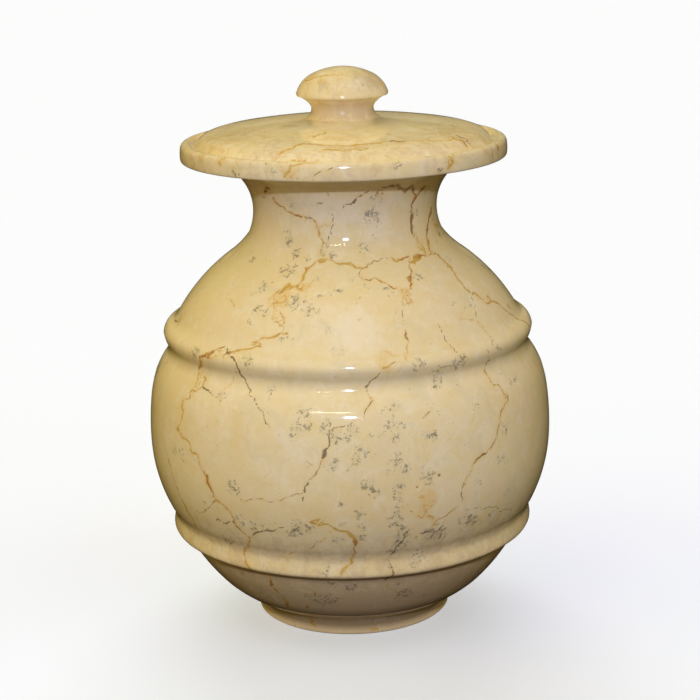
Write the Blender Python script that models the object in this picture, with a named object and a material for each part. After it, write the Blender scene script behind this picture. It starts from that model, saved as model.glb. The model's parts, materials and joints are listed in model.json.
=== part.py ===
"""Cremation urn turned from veined cream marble: a hollow round body and a loose lid with a mushroom knob.

Metres, +Z up. The urn stands on its foot, and the origin is the centre of the foot's underside.
"""

import math
from typing import NamedTuple

import bmesh
import bpy


class Stop(NamedTuple):
    """Where a stretch of a turned outline ends, and how its arc gets there.

    bulge is how far the arc's middle stands out of the straight line: above zero where the stone swells,
    below zero where it is hollowed. steps is the number of facets along the arc.
    """

    radius: float
    height: float
    bulge: float = 0.0
    steps: int = 1


# Driving sizes: the belly, the mouth that the lid lies on, the lid's rim, and the whole urn
BELLY_RADIUS = 0.1054
MOUTH_HEIGHT = 0.2421
RIM_RADIUS = 0.0834
URN_HEIGHT = 0.2880

# Stone left between the outside and the hollow, and under the hollow's floor
WALL = 0.0120
FLOOR_HEIGHT = 0.0200

# Facets round the axis, and the smallest gap kept between the two solids
FACETS = 48
GAP = 0.0003

# The foot is a plain disc under the bowl, with its lower edge just broken
FOOT = (
    Stop(0.0503, 0.0000),
    Stop(0.0510, 0.0006),
    Stop(0.0507, 0.0122),
    Stop(0.0524, 0.0133, -0.0004),
)

# The bowl overhangs the foot and rises to a small cove behind the lower ridge
BOWL = (
    Stop(0.0614, 0.0137),
    Stop(0.0640, 0.0153, 0.0005, 2),
    Stop(0.0753, 0.0257, 0.0006, 2),
    Stop(0.0877, 0.0440, 0.0006, 3),
    Stop(0.0899, 0.0472, -0.0007),
)

# The lower ridge is a low band with a crisp, undercut lower edge
LOWER_RIDGE = (
    Stop(0.0928, 0.0478),
    Stop(0.0951, 0.0506, 0.0008, 3),
    Stop(0.0943, 0.0566),
)

# The belly is widest a little below its middle
BELLY = (
    Stop(0.0970, 0.0630, -0.0004),
    Stop(BELLY_RADIUS, 0.0950, 0.0017, 4),
    Stop(0.1045, 0.1176, 0.0004, 2),
    Stop(0.0966, 0.1410, 0.0013, 4),
)

# The upper ridge is a round bead between a soft groove and the shoulder
UPPER_RIDGE = (
    Stop(0.0942, 0.1484, -0.0012, 3),
    Stop(0.0961, 0.1542, 0.0003, 2),
    Stop(0.0912, 0.1598, 0.0011, 3),
)

# The shoulder sweeps up into a waisted neck, which flares out again to the mouth
SHOULDER = (
    Stop(0.0873, 0.1646, -0.0003),
    Stop(0.0620, 0.1920, 0.0018, 4),
)
NECK = (
    Stop(0.0501, 0.2036, -0.0007, 2),
    Stop(0.0474, 0.2140, -0.0005, 2),
    Stop(0.0532, 0.2330, -0.0019, 4),
    Stop(0.0610, 0.2400, -0.0009, 2),
    Stop(0.0608, MOUTH_HEIGHT, 0.0004),
)

# The bore through the neck has a broken edge at the mouth, where the lid's spigot enters
BORE_RADIUS = 0.0356
BORE = (
    Stop(BORE_RADIUS + 0.0030, MOUTH_HEIGHT),
    Stop(BORE_RADIUS + 0.0020, MOUTH_HEIGHT - 0.0010),
    Stop(BORE_RADIUS, 0.2290),
    Stop(BORE_RADIUS, 0.2080),
)

# Heights on the outside that the hollow follows down from the bore, clear of the ridges
HOLLOW_LEVELS = (0.204, 0.196, 0.186, 0.167, 0.138, 0.124, 0.108, 0.092, 0.078, 0.064, 0.040, 0.029, 0.020)
HOLLOW_FLOOR_RADIUS = 0.0400

# A low spigot under the lid stands loose in the bore and keeps the lid on centre
SPIGOT_RADIUS = BORE_RADIUS - 0.0012
SPIGOT_DEPTH = 0.0080
SPIGOT_CHAMFER = 0.0010

# The lid's disc has a swelling rim, with a raised lip round a groove
LID_UNDERSIDE = MOUTH_HEIGHT + GAP
RIM = (
    Stop(RIM_RADIUS - 0.0009, LID_UNDERSIDE),
    Stop(RIM_RADIUS, 0.2433, 0.0002),
    Stop(RIM_RADIUS - 0.0005, 0.2498, 0.0004, 3),
    Stop(0.0806, 0.2519, 0.0006, 2),
)
LIP_AND_GROOVE = (
    Stop(0.0790, 0.2517),
    Stop(0.0778, 0.2502),
    Stop(0.0756, 0.2506, -0.0006, 2),
)

# A shallow dome runs into the cove under the mushroom knob
DOME = (
    Stop(0.0712, 0.2542, 0.0002),
    Stop(0.0625, 0.2567, 0.0003),
    Stop(0.0190, 0.2620, 0.0006, 3),
)
KNOB = (
    Stop(0.0158, 0.2660, -0.0007, 2),
    Stop(0.0181, 0.2706, -0.0004),
    Stop(0.0229, 0.2735, -0.0004),
    Stop(0.0234, 0.2748, 0.0002),
    Stop(0.0166, 0.2839, 0.0011, 3),
    Stop(0.0000, URN_HEIGHT, 0.0011, 3),
)

# Polished cream marble, as a linear colour
MARBLE_COLOUR = (0.68, 0.55, 0.33, 1.0)
MARBLE_ROUGHNESS = 0.18

# Edges sharper than this between facets stay crisp
CREASE_ANGLE = math.radians(35)


def clear_scene():
    for obj in list(bpy.data.objects):
        bpy.data.objects.remove(obj, do_unlink=True)


def cream_marble():
    material = bpy.data.materials.new("cream_marble")
    material.use_nodes = True
    shader = material.node_tree.nodes["Principled BSDF"]
    shader.inputs["Base Color"].default_value = MARBLE_COLOUR
    shader.inputs["Roughness"].default_value = MARBLE_ROUGHNESS
    shader.inputs["Metallic"].default_value = 0.0
    material.diffuse_color = MARBLE_COLOUR
    return material


def stretch(start, stop):
    """The points after start, up to stop. The stone is on the left of the way, so a swelling bends right."""
    across, up = stop.radius - start[0], stop.height - start[1]
    shares = [step / stop.steps for step in range(1, stop.steps + 1)]
    if not stop.bulge:
        return [(start[0] + across * share, start[1] + up * share) for share in shares]
    chord = math.hypot(across, up)
    arc_radius = (chord**2 / 4 + stop.bulge**2) / (2 * stop.bulge)
    to_centre = (stop.bulge - arc_radius) / chord
    centre = (start[0] + across / 2 + up * to_centre, start[1] + up / 2 - across * to_centre)
    first = math.atan2(start[1] - centre[1], start[0] - centre[0])
    sweep = 2 * math.asin(chord / 2 / arc_radius)
    return [
        (
            centre[0] + abs(arc_radius) * math.cos(first + sweep * share),
            centre[1] + abs(arc_radius) * math.sin(first + sweep * share),
        )
        for share in shares
    ]


def outline(first, stops):
    """The points (radius, height) of an outline through these stops."""
    points = [first]
    for stop in stops:
        points += stretch(points[-1], stop)
    return points


def behind(outside, level):
    """The stop that lies a wall's thickness inside the outline, square to it, where it passes this height."""
    for (radius, height), (next_radius, next_height) in zip(outside, outside[1:]):
        if height <= level < next_height:
            across, up = next_radius - radius, next_height - height
            radius += across * (level - height) / up
            length = math.hypot(across, up)
            return Stop(radius - WALL * up / length, level + WALL * across / length)
    raise ValueError(f"the outside doesn't reach {level}")


def body_outline():
    """From the centre of the underside, up the outside, over the mouth and down the inside to the floor."""
    outside = outline((0.0, 0.0), FOOT + BOWL + LOWER_RIDGE + BELLY + UPPER_RIDGE + SHOULDER + NECK)
    hollow = [behind(outside, level) for level in HOLLOW_LEVELS]
    floor = [Stop(HOLLOW_FLOOR_RADIUS, FLOOR_HEIGHT + 0.0010), Stop(0.0, FLOOR_HEIGHT)]
    return outside + outline(outside[-1], [*BORE, *hollow, *floor])[1:]


def lid_outline():
    """From the centre of the spigot's underside, round the rim and over the dome to the knob's crown."""
    spigot_foot = LID_UNDERSIDE - SPIGOT_DEPTH
    spigot = (
        Stop(SPIGOT_RADIUS - SPIGOT_CHAMFER, spigot_foot),
        Stop(SPIGOT_RADIUS, spigot_foot + SPIGOT_CHAMFER),
        Stop(SPIGOT_RADIUS, LID_UNDERSIDE),
    )
    return outline((0.0, spigot_foot), spigot + RIM + LIP_AND_GROOVE + DOME + KNOB)


def turned(name, points, material):
    """Spins an outline from axis to axis into one closed solid."""
    bm = bmesh.new()
    verts = [bm.verts.new((radius, 0.0, height)) for radius, height in points]
    edges = [bm.edges.new(pair) for pair in zip(verts, verts[1:])]
    bmesh.ops.spin(
        bm,
        geom=verts + edges,
        cent=(0.0, 0.0, 0.0),
        axis=(0.0, 0.0, 1.0),
        angle=math.tau,
        steps=FACETS,
        use_merge=True,
    )
    bmesh.ops.remove_doubles(bm, verts=bm.verts, dist=1e-6)
    bmesh.ops.recalc_face_normals(bm, faces=bm.faces)
    mesh = bpy.data.meshes.new(name)
    bm.to_mesh(mesh)
    bm.free()
    mesh.shade_smooth()
    mesh.set_sharp_from_angle(angle=CREASE_ANGLE)
    mesh.materials.append(material)
    obj = bpy.data.objects.new(name, mesh)
    bpy.context.scene.collection.objects.link(obj)
    return obj


def main():
    clear_scene()
    marble = cream_marble()
    urn = bpy.data.objects.new("urn", None)
    bpy.context.scene.collection.objects.link(urn)
    turned("urn_body", body_outline(), marble).parent = urn
    turned("lid", lid_outline(), marble).parent = urn


main()
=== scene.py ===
# A polished marble cremation urn: cream stone with ochre veins and grey flecks, on a pale floor
import json
import math
import random

import bmesh
import bpy
import numpy as np
from mathutils import Euler, Matrix, Vector, kdtree

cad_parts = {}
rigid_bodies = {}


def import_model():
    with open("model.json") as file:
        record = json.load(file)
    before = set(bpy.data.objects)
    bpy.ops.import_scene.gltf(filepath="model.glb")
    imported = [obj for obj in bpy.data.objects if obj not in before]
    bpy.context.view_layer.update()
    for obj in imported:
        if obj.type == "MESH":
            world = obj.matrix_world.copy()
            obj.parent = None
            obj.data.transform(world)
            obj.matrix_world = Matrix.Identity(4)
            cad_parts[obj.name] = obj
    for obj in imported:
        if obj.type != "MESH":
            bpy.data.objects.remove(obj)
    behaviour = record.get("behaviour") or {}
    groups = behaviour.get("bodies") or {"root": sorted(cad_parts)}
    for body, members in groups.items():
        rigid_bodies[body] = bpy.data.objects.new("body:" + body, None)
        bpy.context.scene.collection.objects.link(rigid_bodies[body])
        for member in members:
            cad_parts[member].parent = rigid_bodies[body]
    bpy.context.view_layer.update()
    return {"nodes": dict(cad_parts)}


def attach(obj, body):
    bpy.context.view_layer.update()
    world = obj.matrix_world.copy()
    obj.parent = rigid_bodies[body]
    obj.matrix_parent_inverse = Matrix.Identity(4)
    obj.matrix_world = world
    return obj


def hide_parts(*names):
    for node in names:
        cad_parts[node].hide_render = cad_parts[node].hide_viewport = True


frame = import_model()
print("frame loaded:", ", ".join(frame["nodes"]))

mm = 0.001
wedges = 12  # a turned piece is spun as this many wedges
fewestArcSteps = 4
weldDistance = 1e-6


# Outlines: each stop is a radius and a height in mm, and how far the arc to it swells out of the straight line.
# A zone is two lengths along the outside, in mm, from its start or, where negative, from its end.

body = {
    "foot": [(50.3, 0), (51, 0.6, 0.1), (50.7, 2.2), (52.3, 5.8, -0.3), (58.4, 12.4, -0.25)],
    "bowl": [(63.6, 15.2, -0.15), (75.3, 25.7, 0.6), (87.5, 43.4, 0.6), (91.7, 47.4, -0.35)],
    "lowerRidge": [(92.8, 47.8), (95.1, 50.6, 0.8), (94.3, 56.6)],
    "belly": [(97, 63, -0.4), (105.2, 95, 1.7), (104.4, 117.6, 0.45), (101.1, 132.6, 0.45), (96.6, 141, 0.25)],
    "upperRidge": [(94.2, 148.4, -1.2), (96.1, 154.2, 0.3), (91.2, 159.8, 1.1)],
    "shoulder": [(87.3, 164.6, -0.3), (62, 192, 1.8)],
    "neck": [(50.1, 203.6, -0.7), (47.4, 214, -0.5), (53.2, 233, -1.9), (61, 240, -0.9), (60.8, 242.1, 0.4)],
    "bore": [(38.6, 242.1), (37.6, 241.1, 0.2), (35.6, 229), (35.6, 208)],
    "hollow": [(38.7, 200), (49.5, 186.7), (75.8, 160.2), (87.5, 132.4), (93.2, 100), (86.4, 68.8), (75, 46),
               (62.6, 29.4), (40, 21), (0, 20)],
    "around": 324,
    "spacing": 1.6,
    "insideSpacing": 7,
    "seed": 7,
    "trunks": 18,
    "trunkAzimuths": (78, 282),
    "zones": {"whole": (60, -6)},
}

lid = {
    "spigot": [(33.4, 234.4), (34.4, 235.4, 0.2), (34.4, 242.4)],
    "underside": [(82.5, 242.4)],
    "rim": [(83.4, 243.3, 0.2), (83.2, 249.5, 0.25), (80.6, 251.5, 0.6)],
    "lip": [(79, 251.3, 0.1), (77.9, 250), (75.8, 250.5, -0.6)],
    "dome": [(71.4, 254.6, 0.2), (62.5, 257.1, 0.3), (19.6, 262, 0.6)],
    "knob": [(16.6, 264, -0.5), (15.8, 267.2, -0.15), (18.1, 270.6, -0.35), (22.9, 273.5, -0.4),
             (23.4, 274.8, 0.2), (16.3, 283.8, 1.1), (0, 287.9, 1)],
    "around": 300,
    "spacing": 1.2,
    "insideSpacing": 4,
    "seed": 11,
    "zones": {"rim": (0, 10), "dome": (14, -48), "top": (24, -52), "knob": (-46, -2)},
}


def arcTo(start, stop, spacing):
    (r0, h0), (r1, h1) = start, stop[:2]
    swell = stop[2] if len(stop) > 2 else 0
    across, up = r1 - r0, h1 - h0
    chord = math.hypot(across, up)
    steps = max(fewestArcSteps if swell else 1, math.ceil(chord / spacing))
    if not swell:
        return [(r0 + across * k / steps, h0 + up * k / steps) for k in range(1, steps + 1)]
    arcRadius = (chord**2 / 4 + swell**2) / (2 * swell)
    toCentre = (swell - arcRadius) / chord
    cr, ch = r0 + across / 2 + up * toCentre, h0 + up / 2 - across * toCentre
    first = math.atan2(h0 - ch, r0 - cr)
    sweep = 2 * math.asin(chord / 2 / arcRadius)
    angles = [first + sweep * k / steps for k in range(1, steps + 1)]
    return [(cr + abs(arcRadius) * math.cos(a), ch + abs(arcRadius) * math.sin(a)) for a in angles]


def outlineOf(first, stretches, spacing):
    points = [first]
    for stop in stretches:
        points += arcTo(points[-1], stop, spacing)
    return points


class Skin:
    # The outside of a turned piece, unrolled: a place on it is an azimuth and a length along the outline, in mm.
    # Azimuth 0 faces the front, -Y, and grows to the right.
    def __init__(self, points):
        self.radii, self.heights = np.array(points).T
        self.along = np.concatenate([[0], np.cumsum(np.hypot(np.diff(self.radii), np.diff(self.heights)))])

    def atHeight(self, azimuth, height):
        climb = np.maximum.accumulate(self.heights)
        return math.radians(azimuth), float(np.interp(height, climb, self.along))

    def atRadius(self, x, y):
        inward = np.minimum.accumulate(self.radii)
        return math.atan2(x, -y), float(np.interp(-math.hypot(x, y), -inward, self.along))

    def zone(self, ends):
        return [end if end >= 0 else self.along[-1] + end for end in ends]

    def radius(self, along):
        return float(np.interp(along, self.along, self.radii))

    def place(self, azimuth, along):
        r = self.radius(along)
        return r * math.sin(azimuth), -r * math.cos(azimuth), float(np.interp(along, self.along, self.heights))


def turned(name, points, around):
    # A wedge is spun first, then its copies close the circle, which is far quicker than one full spin
    bm = bmesh.new()
    verts = [bm.verts.new((r * mm, 0, h * mm)) for r, h in points]
    edges = [bm.edges.new(pair) for pair in zip(verts, verts[1:])]
    axis = {"cent": (0, 0, 0), "axis": (0, 0, 1)}
    bmesh.ops.spin(bm, geom=verts + edges, angle=math.tau / wedges, steps=around // wedges, **axis)
    bmesh.ops.spin(bm, geom=bm.verts[:] + bm.edges[:] + bm.faces[:], angle=math.tau * (wedges - 1) / wedges,
                   steps=wedges - 1, use_duplicate=True, **axis)
    bmesh.ops.remove_doubles(bm, verts=bm.verts, dist=weldDistance)
    bmesh.ops.recalc_face_normals(bm, faces=bm.faces)
    mesh = bpy.data.meshes.new(name)
    bm.to_mesh(mesh)
    bm.free()
    mesh.shade_smooth()
    piece = bpy.data.objects.new(name, mesh)
    bpy.context.scene.collection.objects.link(piece)
    return piece


# Kinds of vein, from golden to grey
kinds = {"ochre": 0.0, "rust": 0.3, "brown": 0.6, "seam": 0.85, "crack": 1.0}

# Each vein is a kind, a width in mm and the places it runs through. On the body, the lid's rim and the knob
# a place is an azimuth in degrees and a height in mm, and on the lid's top it is seen from above, x and y in mm.
bodyVeins = [
    # Neck and shoulder, left of the middle
    ("rust", 1.1, [(-46, 226), (-43, 224.2), (-40, 223.5), (-38, 222.3), (-36.5, 221), (-34, 220.3), (-30, 219.5),
                   (-26, 219.5), (-23, 218.5)]),
    ("ochre", 0.8, [(-24, 219.5), (-20, 218), (-17.5, 215), (-16, 212), (-14, 208), (-14, 204), (-12, 200)]),
    ("crack", 1.0, [(-8, 221), (-7.5, 217), (-8.5, 214), (-8, 211), (-10, 207)]),
    ("ochre", 0.4, [(-19, 217), (-12, 215.5), (-8, 215)]),
    ("ochre", 1.3, [(-14, 202), (-12, 200.5), (-10.5, 199.5), (-8, 198.8), (-6, 197.8), (-4, 197.3), (0, 197.3),
                   (2, 197.8), (4, 196.5), (6, 195.5), (8, 195)]),
    ("ochre", 1.3, [(-10.5, 199.5), (-12, 198.3), (-16, 198), (-17, 196.5), (-20.5, 195.5), (-20, 192),
                   (-20.3, 190), (-21, 188), (-23, 187.5), (-25, 189), (-25, 187), (-27, 187.5), (-29.5, 186.5)]),
    ("ochre", 0.6, [(-14.5, 191), (-16, 189), (-18, 187.5), (-20, 187), (-22, 187.3)]),
    ("ochre", 0.6, [(-17, 190), (-19, 188.5), (-18, 187)]),
    ("ochre", 0.8, [(-29.5, 186.5), (-29, 185), (-30, 183), (-29, 181), (-28, 179.5), (-27.5, 177), (-26, 174.5),
                    (-24, 173), (-22.5, 172)]),
    ("ochre", 1.0, [(-29, 185), (-27, 185.3), (-25.5, 187)]),
    ("ochre", 0.5, [(-25, 179), (-22.5, 174), (-22, 171.5), (-22, 169.5)]),
    ("ochre", 0.5, [(-29, 181), (-26, 181), (-24, 183), (-26, 185)]),
    ("ochre", 1.5, [(-20, 169.6), (-22, 169.5), (-23, 168.3), (-25, 167), (-27.5, 166.5), (-30, 164.6),
                   (-31.8, 164.2)]),
    ("ochre", 1.1, [(-28, 162.5), (-31, 161.5), (-33, 161), (-35, 160.5), (-37, 159), (-39, 158.5), (-40, 160),
                    (-42, 159), (-43, 158), (-45, 156.5), (-47, 155)]),
    ("ochre", 0.5, [(-38, 157), (-41, 157.5), (-44, 155), (-47, 156)]),
    # The knot on the left of the upper ridge, and the long crack below it
    ("rust", 1.5, [(-45, 157), (-48, 154.5), (-50, 153.6), (-49.5, 151), (-51, 148.5), (-52.5, 146.8)]),
    ("brown", 1.2, [(-50, 153.8), (-47.5, 154.2), (-45.5, 156.5), (-43, 159.5), (-40, 160)]),
    ("seam", 1.1, [(-40, 160), (-37.5, 157.5), (-35.5, 156), (-34, 154), (-33.5, 151), (-33.5, 148.5), (-32, 146.5)]),
    ("seam", 0.7, [(-32, 146.5), (-30.5, 143), (-28, 139.5), (-26.5, 137)]),
    ("seam", 0.6, [(-26.5, 137), (-25, 134.5), (-24, 131), (-22, 127)]),
    ("ochre", 0.8, [(-52.5, 146.8), (-51.5, 145.5), (-51.5, 142.5), (-50.5, 140), (-51, 137.5)]),
    ("rust", 0.8, [(-52.5, 135.5), (-50.5, 137), (-49, 138), (-47.5, 139.5), (-48, 140.5), (-47.5, 142.5),
                   (-49.5, 143.5)]),
    ("crack", 0.9, [(-47, 139.5), (-45, 139), (-43.5, 138), (-42.5, 137.3), (-40, 137.8)]),
    ("ochre", 0.4, [(-40, 139), (-38, 142.5), (-36.5, 144.5), (-36.5, 148), (-36, 150)]),
    ("ochre", 1.0, [(-52, 135.5), (-51, 133.5), (-53, 132.5), (-54.5, 131.5), (-54, 129), (-54.5, 127.5),
                    (-53, 126), (-53.5, 124)]),
    ("ochre", 1.1, [(-53.5, 124), (-53.5, 121.5), (-55, 118), (-55.2, 115.5), (-53, 114), (-51, 113),
                    (-49, 111.5), (-48.5, 109.5), (-49, 108), (-47, 107.8), (-45.5, 107)]),
    ("rust", 1.5, [(-45.5, 107), (-45, 104.5), (-45, 102), (-43.5, 99.5), (-42, 97.5), (-42, 95), (-43, 93.5),
                   (-41.5, 92), (-41, 90), (-40.5, 88)]),
    ("rust", 1.3, [(-40.5, 88), (-40, 85.5), (-38, 84.5), (-36.5, 83.5), (-35.3, 81.5), (-35, 79), (-34.5, 77),
                   (-34.5, 74.5), (-33.5, 72), (-32.5, 70), (-31.5, 68)]),
    ("ochre", 1.2, [(-31.5, 68), (-31, 66.5), (-32, 64), (-32.5, 62), (-34.5, 59), (-35, 57), (-34.5, 54),
                    (-33.5, 51), (-31, 46), (-29, 43)]),
    ("rust", 1.6, [(-29, 43), (-29, 40), (-30, 37), (-29, 35.5), (-28.5, 33), (-27.5, 30), (-26.5, 27),
                   (-27, 24), (-28, 20)]),
    ("crack", 1.0, [(-31.5, 68), (-30, 68.5), (-29, 70), (-28, 71.5), (-26, 72.5), (-23, 74), (-20, 75.5)]),
    ("brown", 0.9, [(-62, 100), (-61, 96), (-60, 92), (-59, 87), (-58, 84), (-57, 78), (-56, 73), (-54.5, 70),
                    (-54, 66), (-55, 63)]),
    ("crack", 0.6, [(-50, 75), (-47, 76), (-45, 78), (-43, 80), (-42, 82), (-41, 84.5)]),
    ("crack", 0.6, [(-42, 73), (-39, 73.5), (-37, 74.5), (-35, 75.5)]),
    ("ochre", 0.6, [(-50, 179.5), (-47, 178.2), (-45, 177)]),
    # The fork on the right of the neck, and the chain across the shoulder
    ("brown", 1.9, [(20, 234), (27, 234), (30, 233.5), (32, 232), (34, 230.5), (35.5, 229.5), (37, 231.5),
                    (38.5, 232.5), (40.5, 231.5), (42, 229.5), (44, 227.5), (45.5, 226)]),
    ("brown", 2.2, [(52, 231), (49, 229), (47, 227), (45.5, 225.5), (44.5, 223.5), (43.5, 221.5), (43.5, 219),
                    (43.5, 215), (44, 212.5)]),
    ("crack", 1.6, [(42.5, 213), (43, 209), (44, 206)]),
    ("ochre", 1.0, [(44.5, 207), (45, 203), (45.5, 200), (46, 197.5)]),
    ("ochre", 0.5, [(46, 211), (46.5, 206), (48, 202), (47, 199)]),
    ("brown", 1.3, [(68, 218), (64, 213.5), (61, 211), (59, 209), (57, 207.5), (56, 206)]),
    ("rust", 1.2, [(56, 206), (55, 204.5), (53.5, 202), (52, 200), (50.5, 198.5)]),
    ("brown", 0.6, [(7, 194.8), (10, 196), (13, 197), (17, 198), (20, 199), (22, 198.8)]),
    ("rust", 1.0, [(24, 198.5), (26.5, 197), (29, 197.3), (32, 197.8), (35, 198.3)]),
    ("brown", 0.9, [(8, 195), (6, 193.5), (6, 192), (7, 191), (9, 190.5), (11, 191)]),
    ("rust", 0.8, [(11, 191), (12, 191.6), (14, 190.5), (16, 189.5), (17, 188), (19, 187), (21, 186.8),
                   (23, 186), (25, 185.2), (26.5, 186), (28, 188), (28.5, 190), (30, 191.5), (31.5, 193),
                   (32, 195)]),
    ("rust", 3.5, [(27.8, 189), (29, 190.6)]),
    ("rust", 5.4, [(34.5, 195.7), (37, 196.4), (40, 197.2), (42.5, 197.6)]),
    ("rust", 1.0, [(32, 195), (34, 195.5), (42, 197.6), (45, 197), (48, 197), (51, 197.5), (53.5, 197.3),
                   (54, 195.5), (54.5, 193), (54, 191), (52, 190.8)]),
    ("rust", 1.6, [(54, 194.5), (54.6, 193)]),
    ("ochre", 1.0, [(55, 191), (54, 188.5), (52.5, 187), (52, 185), (52.5, 183), (52, 181.5), (53, 180),
                    (54, 179)]),
    ("rust", 1.5, [(52.5, 181), (54, 179)]),
    ("ochre", 1.1, [(54, 179), (56, 178.5), (56.5, 177), (57.5, 175), (58, 173.5), (60, 172.5), (62, 173.5),
                    (63, 175), (61.5, 175.5), (62, 172.8), (64, 172), (66, 170.5), (67, 168.5)]),
    ("rust", 1.1, [(67, 168.5), (68, 166.5), (70, 164.5), (72, 162), (74, 159.5), (76, 156)]),
    ("ochre", 1.2, [(24, 185), (24, 183), (25, 181), (23, 180)]),
    ("ochre", 0.8, [(22, 186), (22, 183), (21, 181)]),
    ("crack", 0.5, [(21, 181), (20, 178), (19.5, 176), (19.5, 173)]),
    ("brown", 1.1, [(19, 169.5), (18.7, 167), (19.3, 164.5)]),
    ("ochre", 0.4, [(19.3, 164.5), (18.5, 163), (18, 160), (17, 157)]),
    ("crack", 0.5, [(31.5, 170), (31.5, 166), (32, 163), (33, 161), (33, 158), (34, 156), (36, 155),
                    (36.5, 152)]),
    ("crack", 0.6, [(27, 151.5), (30, 152), (32, 152), (34, 151.5), (35.5, 150.5)]),
    ("crack", 0.5, [(27.5, 151), (26, 148.5), (25.5, 146), (26, 143.5), (25, 142)]),
    ("crack", 0.4, [(53, 178), (52, 176), (50.5, 173), (50, 171), (48.5, 169), (48.5, 167)]),
    ("ochre", 0.7, [(48.5, 167), (49, 165), (50, 162), (50, 160), (48, 157), (49, 155), (50, 153.5)]),
    ("ochre", 0.5, [(41, 170), (44, 169.5), (47, 168)]),
    # Down the right of the belly
    ("brown", 0.9, [(45, 155.5), (45.5, 152.5), (46.5, 150.5), (47, 149)]),
    ("rust", 0.7, [(45, 149), (45.5, 146.5), (45.2, 143), (45.5, 140.5), (45.5, 138.5)]),
    ("ochre", 1.3, [(45.7, 137.2), (48, 136.8)]),
    ("ochre", 0.9, [(48.3, 135.5), (48.8, 133), (49, 131.5), (50.5, 131)]),
    ("rust", 0.7, [(50.3, 130), (49, 128.5), (47, 126.5), (45.5, 124.5), (45.2, 121)]),
    ("brown", 0.6, [(45.2, 121), (43.5, 117), (43.3, 115), (42.5, 112.5), (41.5, 110.5), (40.5, 108.5),
                    (39, 107), (37.5, 106.5), (36.5, 105.5)]),
    ("brown", 1.0, [(38.5, 107), (36.5, 105.8), (35, 104.5), (34, 102.5)]),
    ("brown", 0.6, [(34, 102.5), (33.5, 100), (32.5, 98), (32, 95.5), (31, 93.5), (30.5, 90), (30.8, 87.5),
                    (31, 85.5)]),
    ("crack", 0.4, [(35, 79.5), (38, 79), (41, 78), (43, 76.5), (46, 75), (50.5, 71.5), (53.5, 69)]),
    ("rust", 1.0, [(29, 82), (27, 80.3), (25, 78.5), (23, 77.5)]),
    ("brown", 1.3, [(29.2, 82), (28.6, 81.6)]),
    ("brown", 1.4, [(26.8, 80.3), (26, 79.8)]),
    ("ochre", 1.1, [(22, 87), (21, 85), (20.5, 83), (22, 80), (23, 77), (22.5, 75)]),
    ("rust", 0.9, [(20, 84), (20.3, 82.3)]),
    ("brown", 0.5, [(15.5, 85), (17, 82), (19, 80)]),
    ("brown", 2.6, [(23.4, 101.8), (23.7, 101)]),
    ("brown", 1.5, [(17, 97.1), (17.4, 97)]),
    ("brown", 0.5, [(20, 130), (21, 131.5), (22.5, 133.3)]),
    # Down the middle
    ("brown", 0.6, [(3.5, 131), (4, 133.5), (4.5, 136), (6, 138.5), (6.5, 140.5), (5.5, 142)]),
    ("crack", 1.4, [(5, 143.3), (4.5, 145.5), (5.6, 147)]),
    ("crack", 0.7, [(5.6, 147), (6.5, 149), (8, 151), (9, 153)]),
    ("ochre", 0.9, [(9, 153), (10.5, 155), (12, 156.5), (14, 157)]),
    ("crack", 0.6, [(-5.5, 131), (-5.5, 126), (-5.5, 122), (-6.5, 118)]),
    ("crack", 1.4, [(-6.3, 118.5), (-6.8, 116), (-7, 112)]),
    ("brown", 0.8, [(-7, 113), (-8, 110), (-9, 107), (-10.5, 104), (-11.5, 101), (-12.5, 98)]),
    ("crack", 1.0, [(-11.5, 102), (-12.3, 98), (-13, 94), (-13, 92)]),
    ("crack", 0.5, [(-5.5, 128), (-3, 128.5), (-1, 129.5), (1, 131)]),
    ("brown", 0.4, [(-13, 96), (-15, 95), (-18, 93), (-20, 91), (-24, 91), (-27, 90), (-31, 89)]),
    ("ochre", 1.3, [(-11.5, 81), (-10, 80), (-8, 80), (-6, 79.5), (-5, 77.5), (-4, 76.5), (-2, 76), (-1, 75.5)]),
    ("rust", 2.6, [(-1.2, 75.8), (-0.8, 74.6)]),
    ("rust", 1.6, [(-1, 75), (-0.5, 73), (0.5, 71.5), (1, 69.5), (0.5, 67), (0.5, 64.5), (0.2, 62)]),
    ("ochre", 1.8, [(0.2, 62), (0, 60), (-0.5, 58), (-1, 56), (-2.5, 54), (-3.5, 52), (-4, 50.5)]),
    ("ochre", 0.7, [(-10.5, 83), (-9, 82), (-8, 83.5)]),
    ("crack", 0.7, [(-20.5, 76), (-19, 77.2), (-18.5, 76)]),
    ("crack", 0.8, [(-14.5, 78), (-16, 75.5), (-17.3, 74.5), (-18, 72.5)]),
    ("brown", 0.4, [(-7.5, 72), (-8.5, 70), (-11, 67.5), (-13, 65)]),
    ("brown", 0.3, [(-17.5, 62.5), (-19, 60), (-21, 58)]),
    ("brown", 0.4, [(-3.5, 127), (-1, 126), (0.5, 128)]),
    ("crack", 0.9, [(17.5, 69.5), (20, 71), (22, 71.2), (24.5, 71.5), (26.5, 74.5)]),
    ("crack", 1.0, [(15, 74), (14.6, 70), (13.2, 67), (12.2, 63.5), (10.5, 60)]),
    # Neck, right of the middle
    ("crack", 0.9, [(-1.5, 223.5), (-0.3, 225.8)]),
    ("crack", 0.9, [(-0.3, 225.8), (5.3, 227.5)]),
    ("brown", 1.1, [(5.3, 227.5), (6.3, 229), (8.5, 230), (9.7, 230.3)]),
    ("brown", 1.0, [(10.5, 231.4), (12.8, 232.5)]),
    ("rust", 0.9, [(16.5, 232.3), (17.5, 231.6), (19, 230.6)]),
    ("brown", 0.5, [(-16, 225), (-13, 226.5), (-11.5, 227)]),
    ("brown", 0.7, [(-9, 232.5), (-9, 230.3)]),
    ("rust", 2.2, [(-45.8, 227.4), (-44.8, 226)]),
    ("brown", 1.6, [(-51, 229.6), (-48.5, 230.6), (-46.5, 232.5), (-45, 232)]),
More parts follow.
